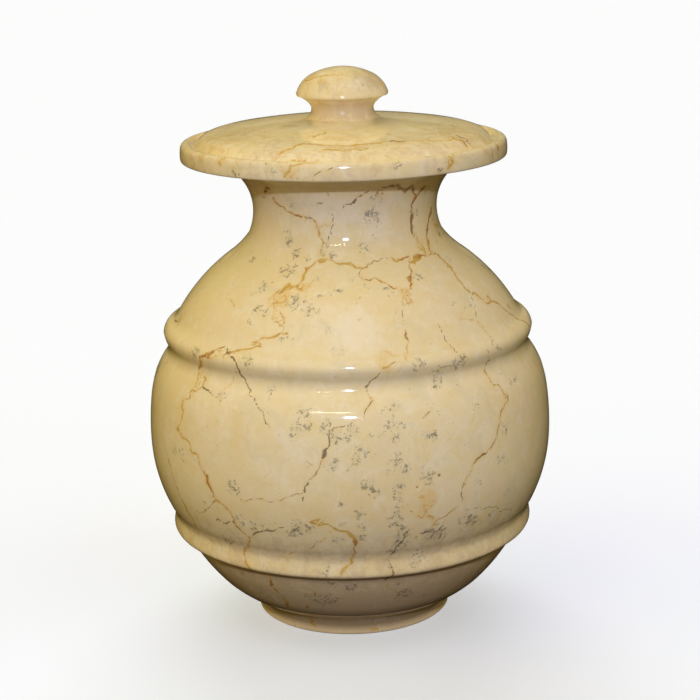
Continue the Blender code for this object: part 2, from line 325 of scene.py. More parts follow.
    ("crack", 0.9, [(-57, 226.6), (-54, 227), (-52, 226.4)]),
    # Bowl and foot
    ("crack", 0.9, [(10.5, 57.5), (11, 54), (11.5, 51.5), (11, 48), (10.3, 44)]),
    ("ochre", 0.5, [(10.5, 41.5), (12, 38.5), (13.5, 36.5), (14.5, 35)]),
    ("brown", 1.3, [(-14, 37), (-13.5, 34.5), (-14.2, 32.5)]),
    ("brown", 1.5, [(-19, 25.5), (-19.3, 22.5)]),
    ("crack", 0.9, [(-7.8, 43), (-7.2, 41.5)]),
    ("brown", 1.6, [(27, 29), (26.5, 28)]),
    ("ochre", 2.2, [(-26, 9), (-24.5, 7), (-24, 3)]),
    ("ochre", 1.6, [(9, 2.5), (14, 2)]),
]


def rings(step, rows):
    # The same patches all the way round, a step of azimuth apart
    return [(azimuth, *row) for azimuth in range(-180, 180, step) for row in rows]


# Patches of warmer or paler stone (one of them a painted sheen), rings of painted shade, and clusters of grey flecks:
# azimuth, height, spread in mm, strength
bodyOchre = [(20.5, 89.5, 6, 0.9), (11, 158, 6, 0.8), (-27, 182.5, 6, 0.8), (-17.5, 188, 5, 0.55), (24, 183, 5, 0.7),
             (-53, 122, 6, 0.3), (-40.5, 159, 5, 0.35), (-9, 81, 4, 0.45), (46, 203, 5, 0.5), (57, 176, 5, 0.4),
             (-43, 95, 4, 0.3), (53, 190, 5, 0.35), (8.5, 87, 2, 0.6), (8.8, 106, 2, 0.5), (-24, 105, 6, 0.35),
             (-45, 157, 4, 0.4), (12.5, 128, 4, 0.3), (0, 66, 4, 0.35), (38, 196, 3, 0.3)]
# The first pale patch, on the front of the shoulder, is a painted sheen
bodyPaleAndSheen = [(2, 170, 11, 0.8), (-14, 118, 9, 0.5), (-19, 103, 7, 0.6), (-16, 95, 6, 0.55), (-27, 121, 9, 0.35),
            (-45, 129, 13, 0.5), (20, 108, 10, 0.35), (30, 176, 14, 0.4), (-12, 152, 9, 0.3), (-3, 80, 9, 0.35),
            (58, 192, 9, 0.3), (6, 101, 9, 0.3), (-14, 226, 9, 0.75), (0, 222, 10, 0.7), (18, 215, 10, 0.65),
            (-10, 211, 8, 0.5), (30, 226, 7, 0.5), (-27, 213, 8, 0.4)]
# Painted shade: darker rings all round the foot, the bowl and the grooves above and below the lower ridge
bodyPaintedShade = rings(12, [(6, 12, 0.8), (27, 15, 0.95), (43, 12, 0.7), (61, 11, 0.5)])
bodyFlecks = [
    (-12.5, 134.5, 4, 0.9), (-14, 127.5, 4, 1), (-11.5, 129, 3, 0.9), (-15, 124, 3, 0.8), (-6.5, 129, 4, 0.9),
    (-4, 124.5, 4, 1), (-1.5, 123.7, 3, 0.9), (2.5, 116.5, 3.5, 1), (4.5, 117, 2, 0.8), (1.3, 112, 3, 0.9),
    (-5, 111, 4, 0.9), (-1, 109, 2, 0.8), (0.7, 127.5, 3, 1), (10.5, 129, 3, 1), (12.5, 127, 4, 0.9),
    (8.5, 124, 2.5, 0.8), (12.5, 123, 3.5, 0.9), (20.5, 122.5, 3, 1), (22.5, 121.5, 2.5, 1), (12, 112, 4, 0.8),
    (10, 107, 4, 0.7), (14.5, 107, 3, 0.8), (5.5, 124.5, 3, 0.6), (9.5, 134, 3, 0.9), (12, 135, 3.5, 0.9),
    (14.5, 136, 3, 0.6), (20.3, 154, 4, 1), (13.5, 154.5, 3, 0.7), (27, 149, 5, 0.8), (26, 144, 4, 0.9),
    (35, 154, 4, 0.9), (33, 152, 4, 0.9), (50.5, 153.5, 3, 1), (52, 141.5, 3, 0.7), (55.5, 136.5, 5, 0.8),
    (37, 131.5, 3, 0.8), (36, 135, 4, 0.6), (33, 142, 3, 0.6), (47, 117, 4, 0.8), (44, 102, 4, 0.8),
    (46.5, 100, 2.5, 0.7), (36.5, 93, 2, 0.9), (31, 94, 2.5, 0.7), (48, 82.7, 2, 0.9), (20.5, 101.5, 4, 1),
    (19.5, 104.5, 3, 0.9), (4, 100.5, 3.5, 1), (6, 96.5, 3, 1), (12.5, 98, 3, 1), (12.3, 93, 3, 1),
    (12, 86.5, 3, 0.8), (-3, 90.5, 2, 0.9), (1.8, 85.5, 3.5, 1), (3, 78.5, 3, 0.9), (11.5, 80, 4, 1),
    (13, 76.5, 3, 1), (14, 72.5, 4, 1), (13.5, 67.5, 4, 1), (11.5, 63, 4, 0.9), (20.5, 72, 4, 0.8),
    (22.5, 69.5, 4, 1), (25, 67, 4, 1), (26, 72, 3, 0.7), (-4.3, 71, 3, 0.9), (2.5, 71.5, 3, 0.9),
    (-28.5, 75.5, 3, 1), (-25, 75.3, 3, 0.8), (-32.5, 77, 4, 0.9), (-33, 95, 4, 1), (-32, 92.5, 3, 0.9),
    (-40, 62, 4, 0.8), (-38, 64, 3, 0.9), (-45, 81.5, 2, 0.8), (-15, 76.5, 5, 1), (-12.5, 78, 4, 0.9),
    (-17.5, 73.5, 3, 0.8), (33, 75, 5, 0.9), (36, 73.5, 5, 0.8), (42.5, 72.5, 4, 0.7), (32.5, 78.5, 3, 0.8),
    (-53.5, 105, 3, 0.9), (-57, 105.5, 3, 0.9), (-52, 101.5, 3, 0.7), (-23, 144, 3, 0.8), (-23, 140, 1.5, 1),
    (-22.5, 132.5, 3, 0.6), (-39, 137.5, 3, 0.9), (-52.5, 154.5, 5, 0.8), (-31, 156, 5, 0.8), (-13, 152.5, 4, 0.5),
    (-3.8, 151.3, 1.5, 0.9), (-4, 162, 2.5, 1), (-2.5, 162.2, 2.5, 1), (-20, 182, 5, 0.9), (-15.5, 181.5, 5, 0.8),
    (-13.5, 179, 5, 0.8), (-17, 178.5, 4, 0.5), (-11, 178.5, 3, 0.7), (-10, 184.8, 2.5, 0.8), (-7, 186, 4, 0.6),
    (-3.5, 187, 4, 0.7), (-13, 191.5, 3, 0.6), (3, 191, 3, 0.6), (7, 189, 4, 0.6), (10, 188, 5, 0.5),
    (16.5, 185.5, 3, 0.9), (4, 183, 2.5, 0.8), (17, 176.5, 5, 0.6), (15.5, 173.5, 2.5, 0.5), (18.5, 194, 2, 0.6),
    (10, 199, 4, 0.5), (-7, 201, 2, 1), (-21.5, 167, 4, 0.7), (-17, 167, 4, 0.6), (-15.5, 169, 3, 0.5),
    (-34, 178.5, 3, 0.9), (-30, 176.5, 3, 0.8), (-35, 177, 3, 0.8), (-35.5, 172, 2, 0.9), (-37, 187, 4, 0.9),
    (-40, 184, 2, 0.9), (-35, 188.5, 3, 0.7), (-30, 194, 4, 0.9), (-27, 194.5, 4, 0.9), (-29, 192, 2.5, 0.9),
    (-55.5, 195.5, 2.5, 1), (-58, 192, 3, 0.6), (-28.5, 201, 3, 1), (-26, 202.5, 2.5, 0.7), (-20.5, 199.5, 3, 0.7),
    (-36, 205, 2.5, 1), (-35, 207.5, 2.5, 1), (-36.5, 210.5, 2.5, 0.8), (-30, 214, 3, 0.6), (-22.5, 219, 3, 0.8),
    (-13.5, 202, 2.5, 0.9), (-11, 206.5, 2, 1), (11, 204, 5, 0.7), (17, 208.5, 3, 0.6), (16, 219.5, 5, 0.9),
    (18, 218, 5, 0.8), (15.5, 222, 4, 0.7), (18.5, 228.5, 4, 0.9), (20, 221, 3, 0.6), (53, 208.5, 3, 0.6),
    (47.5, 217, 4, 0.7), (53.5, 227.5, 4, 0.8), (33, 190.5, 4, 0.8), (28, 216, 5, 0.5), (45, 174.5, 2.5, 0.7),
    (42, 176.5, 3, 0.8), (49, 175, 2, 0.9), (48, 182.5, 4, 0.5), (32, 174, 2, 0.7), (42, 172.5, 2.5, 0.7),
    (58.5, 193.5, 3, 0.7), (65, 170, 4, 0.6), (62, 200.5, 5, 0.6), (72, 203.5, 3, 1), (64, 215, 5, 0.6),
    (-10.5, 31, 5, 1), (-12.5, 29.5, 4, 1), (-9, 33, 4, 0.9), (-5.3, 33, 2.5, 0.9), (-13, 23.5, 4, 0.7),
    (-16.5, 33, 3, 0.9), (-1, 40.5, 3.5, 0.9), (-7.5, 42.5, 3, 0.9), (11, 33.5, 2, 0.7), (18, 33, 5, 1),
    (17.5, 30.5, 4, 1), (15, 41, 4, 0.6), (19.5, 58, 4, 1), (18, 53, 3, 0.7), (11, 54, 3, 0.6), (-7.8, 53, 4, 0.8),
    (33, 29, 4, 0.5), (-40, 40, 5, 0.6), (-35, 33, 5, 0.6), (22, 55, 4, 0.5), (-23, 30, 4, 0.5),
]

# Random patches: sort, count, zone, azimuths, spread in mm, strength
bodyScatter = [
    ("flecks", 230, "whole", (72, 288), (2, 5), (0.6, 1)),
    ("flecks", 60, "whole", (-72, 72), (1.5, 3.5), (0.35, 0.7)),
    ("pale", 26, "whole", (80, 280), (6, 14), (0.3, 0.7)),
]

lidVeins = [
    ("ochre", 1.5, [(-31, -66), (-28.5, -65), (-23.5, -62), (-17, -59.5), (-11, -61.5), (-6, -63), (0, -64), (7, -62.5),
                    (14, -61.5), (17, -61.5), (21, -57.5), (24, -57), (29, -57)]),
    ("brown", 1.3, [(-18, -59.5), (-15, -60.5)]),
    ("brown", 1.3, [(22, -57.5), (26, -57), (29, -57)]),
    ("ochre", 1.0, [(29, -57), (36, -54), (42, -51), (48, -48), (52, -46), (57, -42)]),
    ("brown", 1.0, [(51, -40.5), (55, -41.5), (60, -44)]),
    ("crack", 0.8, [(55, -36), (59, -38), (62, -41)]),
    ("rust", 0.8, [(-57.5, -50.5), (-55, -54), (-53, -57)]),
    ("brown", 0.8, [(-18, -51), (-13, -46), (-8, -40)]),
    ("ochre", 1.2, [(-10, -68), (-4, -69), (0, -70.3), (6, -68.5), (12, -67)]),
    ("ochre", 1.2, [(-25, -71), (-22, -72.5), (-18, -72.5)]),
]
lidRimVeins = [
    ("rust", 1.3, [(-46, 249.8), (-45.5, 248.4), (-45, 247.2)]),
    ("brown", 0.5, [(-45.2, 250.8), (-44.2, 251.4)]),
    ("ochre", 1.6, [(-20, 244.6), (-19, 246.5), (-17.6, 248.6), (-16, 250.3)]),
    ("ochre", 0.7, [(-16, 250.3), (-13, 251.2), (-9, 251.4)]),
    ("crack", 1.1, [(-17.8, 250.2), (-17.2, 249.7)]),
    ("crack", 1.0, [(-15.3, 244.4), (-14.8, 244)]),
    ("brown", 0.5, [(-10, 243.6), (-6, 247), (-3, 249.3)]),
    ("crack", 0.8, [(-26.5, 250.8), (-26.1, 250.3)]),
    ("ochre", 1.3, [(40, 251.3), (39, 250), (38.5, 248), (37, 246), (36, 244.6)]),
    ("ochre", 0.7, [(36.3, 251.2), (36.8, 249), (36.4, 246.4)]),
    ("brown", 0.8, [(61, 249.6), (61.4, 245)]),
    ("brown", 1.3, [(66.5, 251.2), (66, 248)]),
    ("ochre", 1.0, [(118, 244), (124, 248), (126, 251)]),
    ("brown", 0.6, [(156, 250.5), (163, 248.5), (171, 245.5)]),
    ("rust", 1.1, [(199, 244.5), (203, 247), (205, 250.5)]),
    ("ochre", 0.8, [(-150, 244.5), (-146, 248), (-147, 251)]),
    ("crack", 0.7, [(-100, 250.5), (-96, 246.5)]),
]
knobVeins = [
    ("ochre", 0.8, [(-75, 279.5), (-60, 282), (-42, 284), (-22, 284.7), (-5, 284.9)]),
    ("brown", 1.0, [(29, 280.2), (31, 279.8)]),
]

lidFlecks = [(-23.7, 246.8, 3, 0.8), (-38, 245.5, 3, 0.9), (17.5, 249.3, 2.5, 0.9), (33, 244.6, 2, 0.9),
             (-47, 248, 2, 0.5), (-8, 246, 4, 0.3), (5, 282, 3, 0.5), (0, 270, 3, 0.5)]
lidOchre = [(-60, 255, 26, 0.5), (0, 258, 26, 0.5), (60, 255, 26, 0.5), (120, 256, 30, 0.45), (180, 256, 30, 0.45),
            (-120, 256, 30, 0.45), (-45.3, 250, 3, 0.8), (-18, 247.5, 4, 0.8), (38, 248, 3, 0.6), (0, 284, 9, 0.5)]
# Darker rings round the lid's rim, dome and knob top, and painted shade in a ring round the stem under the knob head
lidDuskAndShade = rings(30, [(247, 12, 0.42), (256.5, 20, 0.45), (267.5, 5, 0.9), (279, 9, 0.3)])
lidPale = [(28, 281.5, 4, 0.9), (0, 247, 7, 0.5), (26, 247, 8, 0.5), (50, 247, 6, 0.4), (-28, 247, 6, 0.4),
           (0, 268, 6, 0.5)]
lidScatter = [
    ("flecks", 24, "rim", (60, 300), (2, 4), (0.5, 1)),
    ("flecks", 24, "top", (80, 280), (1.5, 4), (0.3, 0.8)),
    ("ochre", 18, "knob", (-180, 180), (1.6, 3.4), (0.6, 1)),
    ("pale", 20, "knob", (-180, 180), (1.2, 2.6), (0.7, 1)),
    ("dusky", 40, "dome", (-180, 180), (2.5, 6), (0.3, 0.6)),
    ("dusky", 14, "knob", (-180, 180), (3, 6), (0.4, 0.7)),
    ("pale", 30, "dome", (-180, 180), (2, 5), (0.4, 0.8)),
]


# How a vein is drawn, in mm: its route is broken up until no run is longer than finest, and each break is pushed
# aside by up to push of its run. Its width swells and shrinks on the way, and tapers to tip at the ends.
veinDrawing = {
    "finest": 0.8,
    "push": 0.3,
    "leastRadius": 5,
    "markGap": 0.35,
    "swellGap": 3,
    "uneven": 0.6,
    "seamUneven": 0.25,
    "taper": 1.5,
    "tip": 0.45,
}

# Veins that find their own way over the sides that the front view doesn't show: lengths in mm, turns in radians
wandering = {
    "kinds": ["ochre", "rust", "brown", "crack", "rust"],
    "length": (60, 170),
    "width": (0.5, 1.1),
    "step": (4, 9),
    "turn": 0.45,
    "lean": 0.6,
    "leastRadius": 12,
    "zone": (20, -6),
    "firstTwig": 2,
    "twigEvery": 4,
    "twigLength": (8, 45),
    "twigWidth": (0.3, 0.8),
    "twigTurn": (0.6, 1.5),
    "stainOdds": 0.4,
    "stainSpread": (3, 7),
    "stainStrength": (0.3, 0.7),
}


def roughened(skin, route, rng):
    # Breaks each straight run in two, again and again, and pushes the middle aside
    finest, most = veinDrawing["finest"], veinDrawing["push"]
    while True:
        broken, longest = [route[0]], 0
        for (a0, s0), (a1, s1) in zip(route, route[1:]):
            middle = (s0 + s1) / 2
            radius = max(skin.radius(middle), veinDrawing["leastRadius"])
            across, up = (a1 - a0) * radius, s1 - s0
            length = math.hypot(across, up)
            longest = max(longest, length / 2)
            if length > finest:
                push = rng.uniform(-most, most)
                broken.append(((a0 + a1) / 2 - up * push / radius, middle + across * push))
            broken.append((a1, s1))
        route = broken
        if longest <= finest:
            return route


def wandered(skin, rng, azimuth, along, heading, length, azimuths):
    # A route of its own, until it is long enough or leaves the zone or the azimuths, in degrees
    low, high = skin.zone(wandering["zone"])
    route, gone = [(azimuth, along)], 0
    while gone < length and low < along < high and azimuths[0] < math.degrees(azimuth) < azimuths[1]:
        step = rng.uniform(*wandering["step"])
        heading += rng.gauss(0, wandering["turn"])
        azimuth += step * math.sin(heading) / max(skin.radius(along), wandering["leastRadius"])
        along += step * math.cos(heading)
        route.append((azimuth, along))
        gone += step
    return route


class Marbling:
    # Collects veins, patches and fleck clusters on one skin, and writes them to a piece as attributes
    def __init__(self, skin, seed):
        self.skin, self.rng = skin, random.Random(seed)
        self.points, self.looks = [], []
        self.patches = {"ochre": [], "pale": [], "flecks": [], "dusky": []}

    def vein(self, kind, width, route):
        fine = roughened(self.skin, route, self.rng)
        places = np.array([self.skin.place(a, s) for a, s in fine])
        gaps = np.linalg.norm(np.diff(places, axis=0), axis=1)
        run = np.concatenate([[0], np.cumsum(gaps)])
        length = run[-1]
        marks = np.linspace(0, length, max(3, int(length / veinDrawing["markGap"])))
        uneven = veinDrawing["seamUneven" if kind == "seam" else "uneven"]
        swells = [self.rng.uniform(1 - uneven, 1 + uneven)
                  for _ in range(max(3, int(length / veinDrawing["swellGap"])))]
        swell = np.interp(marks, np.linspace(0, length, len(swells)), swells)
        toEnd = np.minimum(marks, length - marks)
        taper = np.clip(toEnd / veinDrawing["taper"] + veinDrawing["tip"], 0, 1)
        axes = [np.interp(marks, run, places[:, k]) for k in range(3)]
        for x, y, z, wide in zip(*axes, swell * taper * width):
            self.points.append((x, y, z))
            self.looks.append((wide, kinds[kind]))

    def veins(self, rows, unroll):
        for kind, width, route in rows:
            self.vein(kind, width, [unroll(*place) for place in route])

    def patch(self, sort, azimuth, along, spread, strength):
        self.patches[sort].append((self.skin.place(azimuth, along), spread, strength))

    def patchesAt(self, **places):
        for sort, rows in places.items():
            for azimuth, height, spread, strength in rows:
                self.patch(sort, *self.skin.atHeight(azimuth, height), spread, strength)

    def wanderers(self, trunks, azimuths, zone):
        skin, rng = self.skin, self.rng
        for _ in range(trunks):
            azimuth = math.radians(rng.uniform(*azimuths))
            along = rng.uniform(*skin.zone(zone))
            heading = rng.choice([0, math.pi]) + rng.gauss(0, wandering["lean"])
            kind = rng.choice(wandering["kinds"])
            route = wandered(skin, rng, azimuth, along, heading, rng.uniform(*wandering["length"]), azimuths)
            if len(route) < 2:
                continue
            self.vein(kind, rng.uniform(*wandering["width"]), route)
            for a, s in route[wandering["firstTwig"]::wandering["twigEvery"]]:
                side = heading + rng.choice([-1, 1]) * rng.uniform(*wandering["twigTurn"])
                twig = wandered(skin, rng, a, s, side, rng.uniform(*wandering["twigLength"]), azimuths)
                if len(twig) > 1:
                    self.vein(rng.choice(["ochre", "crack", kind]), rng.uniform(*wandering["twigWidth"]), twig)
                if rng.random() < wandering["stainOdds"]:
                    self.patch("ochre", a, s, rng.uniform(*wandering["stainSpread"]),
                               rng.uniform(*wandering["stainStrength"]))

    def scatter(self, rows, zones):
        for sort, count, zone, azimuths, spreads, strengths in rows:
            ends = self.skin.zone(zones[zone])
            for _ in range(count):
                self.patch(sort, math.radians(self.rng.uniform(*azimuths)), self.rng.uniform(*ends),
                           self.rng.uniform(*spreads), self.rng.uniform(*strengths))

    def writeTo(self, piece):
        tree = kdtree.KDTree(len(self.points))
        for index, point in enumerate(self.points):
            tree.insert(point, index)
        tree.balance()
        mesh = piece.data
        places = np.zeros(len(mesh.vertices) * 3)
        mesh.vertices.foreach_get("co", places)
        places = places.reshape(-1, 3) / mm
        # Each vertex is told the way to the nearest vein, how far that is, how wide the vein is and its kind
        way, look = np.zeros_like(places), np.zeros_like(places)
        for index, place in enumerate(places):
            nearest, which, distance = tree.find(place)
            way[index] = nearest
            look[index] = (distance, *self.looks[which])
        way -= places
        stains = np.zeros((len(places), len(self.patches)))
        for column, patches in enumerate(self.patches.values()):
            for centre, spread, strength in patches:
                apart = np.sum((places - centre) ** 2, axis=1)
                stains[:, column] = np.maximum(stains[:, column], strength * np.exp(-apart / (2 * spread**2)))
        for name, values in (("veinWay", way), ("veinLook", look), ("stains", stains[:, :3])):
            layer = mesh.attributes.new(name, "FLOAT_VECTOR", "POINT")
            layer.data.foreach_set("vector", values.ravel())
        mesh.attributes.new("dusky", "FLOAT", "POINT").data.foreach_set("value", stains[:, 3].copy())


def stopsOf(piece, *stretches):
    return [stop for stretch in stretches for stop in piece[stretch]]


def makeBody():
    shown = stopsOf(body, "foot", "bowl", "lowerRidge", "belly", "upperRidge", "shoulder", "neck")
    outer = outlineOf((0, 0), shown, body["spacing"])
    inner = outlineOf(outer[-1], stopsOf(body, "bore", "hollow"), body["insideSpacing"])
    piece = turned("urn_body_marble", outer + inner[1:], body["around"])
    skin = Skin(outer)
    marbling = Marbling(skin, body["seed"])
    marbling.veins(bodyVeins, skin.atHeight)
    marbling.patchesAt(ochre=bodyOchre, pale=bodyPaleAndSheen, flecks=bodyFlecks, dusky=bodyPaintedShade)
    marbling.wanderers(body["trunks"], body["trunkAzimuths"], body["zones"]["whole"])
    marbling.scatter(bodyScatter, body["zones"])
    marbling.writeTo(piece)
    print("body:", len(piece.data.polygons), "faces")
    return piece


def makeLid():
    hidden = outlineOf((0, lid["spigot"][0][1]), stopsOf(lid, "spigot", "underside"), lid["insideSpacing"])
    shown = outlineOf(hidden[-1], stopsOf(lid, "rim", "lip", "dome", "knob"), lid["spacing"])
    piece = turned("lid_marble", hidden + shown[1:], lid["around"])
    skin = Skin(shown)
    marbling = Marbling(skin, lid["seed"])
    marbling.veins(lidVeins, skin.atRadius)
    marbling.veins(lidRimVeins + knobVeins, skin.atHeight)
    marbling.patchesAt(ochre=lidOchre, pale=lidPale, flecks=lidFlecks, dusky=lidDuskAndShade)
    marbling.scatter(lidScatter, lid["zones"])
    marbling.writeTo(piece)
    print("lid:", len(piece.data.polygons), "faces")
    return piece


# Shader maths: a Wire is a node's output socket, and sums on wires add Math nodes


class Wire:
    def __init__(self, board, socket):
        self.board, self.socket = board, socket

    def math(self, operation, *values, clamp=False):
        return self.board.node("ShaderNodeMath", {"operation": operation, "use_clamp": clamp}, *values)

    def __add__(self, other):
        return self.math("ADD", self, other)

    __radd__ = __add__

    def __mul__(self, other):
        return self.math("MULTIPLY", self, other)

    __rmul__ = __mul__

    def __sub__(self, other):
        return self.math("SUBTRACT", self, other)

    def __rsub__(self, other):
        return self.math("SUBTRACT", other, self)

    def __truediv__(self, other):
        return self.math("DIVIDE", self, other)

    def most(self, other):
        return self.math("MAXIMUM", self, other)

    def size(self):
        return self.math("ABSOLUTE", self)

    def held(self):
        return self.math("ADD", self, 0, clamp=True)

    def ramp(self, start, end, low=0, high=1):
        # Eases from low to high while this goes from start to end, either way round
        settings = {"interpolation_type": "SMOOTHSTEP"}
        if start > end:
            start, end, low, high = end, start, high, low
        return self.board.node("ShaderNodeMapRange", settings, self, start, end, low, high)


class Board:
    # One material's nodes
    def __init__(self, name):
        self.material = bpy.data.materials.new(name)
        self.material.use_nodes = True
        self.tree = self.material.node_tree
        self.shader = self.tree.nodes["Principled BSDF"]
        self.object = self.node("ShaderNodeTexCoord", {}, out="Object")

    def plug(self, socket, value):
        if isinstance(value, Wire):
            self.tree.links.new(value.socket, socket)
        else:
            socket.default_value = value

    def node(self, kind, settings, *values, out=0, **named):
        made = self.tree.nodes.new(kind)
        for key, value in settings.items():
            setattr(made, key, value)
        for key, value in list(enumerate(values)) + list(named.items()):
            self.plug(made.inputs[key], value)
        return Wire(self, made.outputs[out])

    def noise(self, scale, detail=2, roughness=0.5, distortion=0, at=None, out=0):
        return self.node("ShaderNodeTexNoise", {}, Vector=at or self.object, Scale=scale, Detail=detail,
                         Roughness=roughness, Distortion=distortion, out=out)

    def attribute(self, name, out):
        return self.node("ShaderNodeAttribute", {"attribute_name": name}, out=out)

    def vector(self, operation, *values, out=0):
        return self.node("ShaderNodeVectorMath", {"operation": operation}, *values, out=out)

    def split(self, wire):
        parts = self.tree.nodes.new("ShaderNodeSeparateXYZ")
        self.plug(parts.inputs[0], wire)
        return [Wire(self, socket) for socket in parts.outputs]

    def blend(self, share, below, above):
        # A Mix node takes its share at socket 0 and its colours at 6 and 7, and the blend comes out at 2
        made = self.tree.nodes.new("ShaderNodeMix")
        made.data_type = "RGBA"
        for index, value in ((0, share), (6, below), (7, above)):
            self.plug(made.inputs[index], value)
        return Wire(self, made.outputs[2])

    def wear(self, inputs):
        for name, value in inputs.items():
            self.plug(self.shader.inputs[name], value)


def colour(red, green, blue):
    # A colour as a picture program shows it, made linear
    return [((c / 255 + 0.055) / 1.055) ** 2.4 if c > 10 else c / 255 / 12.92 for c in (red, green, blue)] + [1]


marbleLook = {
    "stone": colour(231, 217, 175),
    "warm": colour(229, 209, 156),
    "pale": colour(238, 228, 202),
    "rosy": colour(228, 208, 173),
    "grey": colour(208, 202, 174),
    "honey": colour(227, 208, 147),
    # The darker tone of dull patches and of painted shade
    "dusky": colour(204, 182, 144),
    "stain": colour(224, 188, 112),
    "ochre": colour(198, 160, 64),
    "rust": colour(172, 116, 48),
    "brown": colour(120, 92, 50),
    "blush": colour(206, 166, 112),
    "crack": colour(120, 106, 80),
    "fleck": colour(92, 94, 84),
    # How strongly each layer covers the ones below it
    "wispCover": 0.35,
    "threadCover": 0.45,
    "haloCover": 0.4,
    "veinCover": 0.9,
    "hazeCover": 0.08,
    "fleckCover": 0.62,
    "speckCover": 0.5,
    # Gloss, relief and depth
    "roughness": 0.065,
    "veinRoughness": 0.2,
    "veinDepth": 0.6,
    "reliefStrength": 0.2,
    "reliefDepth": 0.0001,
    "shader": {"IOR": 1.5, "Subsurface Weight": 0.1, "Subsurface Radius": (1.0, 0.6, 0.3),
               "Subsurface Scale": 0.003},
    # Veins, in mm: how far noise shakes them, the least width to draw, and how far off they are still drawn
    "shake": 1.3,
    "coreShare": 0.66,
    "leastCore": 0.33,
    "reach": (3.4, 2.0),
    # The web of fine lines, in cells to the metre and metres, and how the wisps are drawn out upwards
    "webCells": 210,
    "webShake": 0.003,
    "wispSquash": (1, 1, 0.45),
}

# Noises of the marble: how many to the metre, then detail, roughness and distortion where they aren't plain
grains = {
    "clouds": (17, 4, 0.55, 0.6),
    "drift": (45, 4, 0.6, 1.4),
    "mottle": (105, 4, 0.6, 0.9),
    "ragged": (190, 4, 0.65, 0.8),
    "wisps": (30, 3, 0.6, 1.2),
    "wispGaps": (24,),
    "shake": (420, 3, 0.6),
    "threadGaps": (220,),
    "veinGaps": (300, 3, 0.6),
    "haloGaps": (160, 3, 0.6),
    "veinTint": (170, 3, 0.6),
    "blush": (80,),
    "curls": (340, 3, 0.6, 0.9),
    "ticks": (480, 2, 0.6),
    "specks": (1100, 2, 0.5),
}


def mixStone(board, look):
    clouds, drift, mottle = (board.noise(*grains[name]) for name in ("clouds", "drift", "mottle"))
    base = board.blend(clouds.ramp(0.42, 0.68, 0, 0.7), look["stone"], look["warm"])
    base = board.blend(drift.ramp(0.52, 0.75, 0, 0.5), base, look["rosy"])
    base = board.blend(drift.ramp(0.48, 0.3, 0, 0.35), base, look["grey"])
    base = board.blend(mottle.ramp(0.5, 0.66, 0, 0.45), base, look["honey"])
    return board.blend(mottle.ramp(0.46, 0.32, 0, 0.4), base, look["pale"])


def stainStone(board, look, base, ragged, shake, ochre, pale):
    # Pale patches (one a painted sheen), dusky patches, rings of painted shade and stained patches have ragged rims
    dusky = board.attribute("dusky", "Fac")
    base = board.blend((pale * 1.2 + ragged * 1.4 - 0.7).ramp(0.25, 0.9, 0, 0.6), base, look["pale"])
    # Darker patches and rings; the rings round the foot, bowl, lower ridge and knob stem are painted shade
    base = board.blend((dusky * 1.2 + ragged * 1.4 - 0.7).ramp(0.2, 0.9, 0, 0.8), base, look["dusky"])
    base = board.blend((ochre * 1.2 + ragged * 2.2 - 1.1).ramp(0.35, 1.1, 0, 0.5), base, look["stain"])
    # Pale wisps wander through the stone, and a web of fine ochre lines through the stained patches
    tall = board.vector("MULTIPLY", board.object, look["wispSquash"])
    wisps = (board.noise(*grains["wisps"], at=tall) - 0.5).size().ramp(0.016, 0.003, 0, look["wispCover"])
    base = board.blend(wisps * board.noise(*grains["wispGaps"]).ramp(0.42, 0.6), base, look["pale"])
    webAt = board.vector("MULTIPLY_ADD", shake, (look["webShake"],) * 3, board.object)
    web = board.node("ShaderNodeTexVoronoi", {"feature": "DISTANCE_TO_EDGE"}, Vector=webAt, Scale=look["webCells"])
    threads = web.ramp(0.06, 0.015) * (ochre + ragged - 0.5).ramp(0.4, 0.7)
    threads = threads * board.noise(*grains["threadGaps"]).ramp(0.45, 0.6)
    return board.blend(threads * look["threadCover"], base, look["ochre"])


def veinStone(board, look, base, shake):
    # The way to the nearest vein, shaken by noise, gives how far off it is
    way = board.attribute("veinWay", "Vector")
    reach, width, kind = board.split(board.attribute("veinLook", "Vector"))
    off = board.vector("LENGTH", board.vector("MULTIPLY_ADD", shake, (look["shake"],) * 3, way), out="Value")
    near = reach.ramp(*look["reach"])
    halo = (off / (width * 1.2 + 1.0)).ramp(1.0, 0.1) * near
    halo = halo * board.noise(*grains["haloGaps"]).ramp(0.38, 0.62)
    base = board.blend(halo * look["haloCover"] * kind.ramp(1, 0.5, 0.25, 1), base, look["stain"])
    # Seams run on unbroken, and cracks nearly so
    core = (off / (width * look["coreShare"]).most(look["leastCore"])).ramp(0.9, 0.25) * near
    unbroken = kind.ramp(0.75, 0.85) * kind.ramp(0.97, 0.88, 0.4, 1)
    core = core * (board.noise(*grains["veinGaps"]).ramp(0.3, 0.5, 0.35, 1) + unbroken).held()
    tint = (kind + board.noise(*grains["veinTint"]) * 1.7 - 0.88).held()
    vein = board.blend(tint.ramp(0.15, 0.4), look["ochre"], look["rust"])
    vein = board.blend(board.noise(*grains["blush"]).ramp(0.52, 0.62, 0, 0.4), vein, look["blush"])
    vein = board.blend(tint.ramp(0.4, 0.75), vein, look["brown"])
    vein = board.blend(kind.ramp(0.7, 1), vein, look["crack"])
    return board.blend(core * look["veinCover"], base, vein), core


def fleckStone(board, look, base, ragged, flecks):
    # Flecks crowd where the clusters are: soft dark dabs in a faint grey haze
    crowd = (flecks * 1.5 - 0.5).held() * ragged.ramp(0.35, 0.6, 0.4, 1.1)
    curls = (board.noise(*grains["curls"]) - 0.5).size()
    dabs = (crowd * 0.12 - curls).ramp(-0.03, 0.05) * board.noise(*grains["ticks"]).ramp(0.46, 0.58)
    base = board.blend(crowd.ramp(0.2, 0.9, 0, look["hazeCover"]), base, look["fleck"])
    base = board.blend(dabs * crowd.ramp(0.12, 0.4) * look["fleckCover"], base, look["fleck"])
    specks = board.noise(*grains["specks"]).ramp(0.7, 0.76)
    return board.blend(specks * look["speckCover"], base, look["brown"])


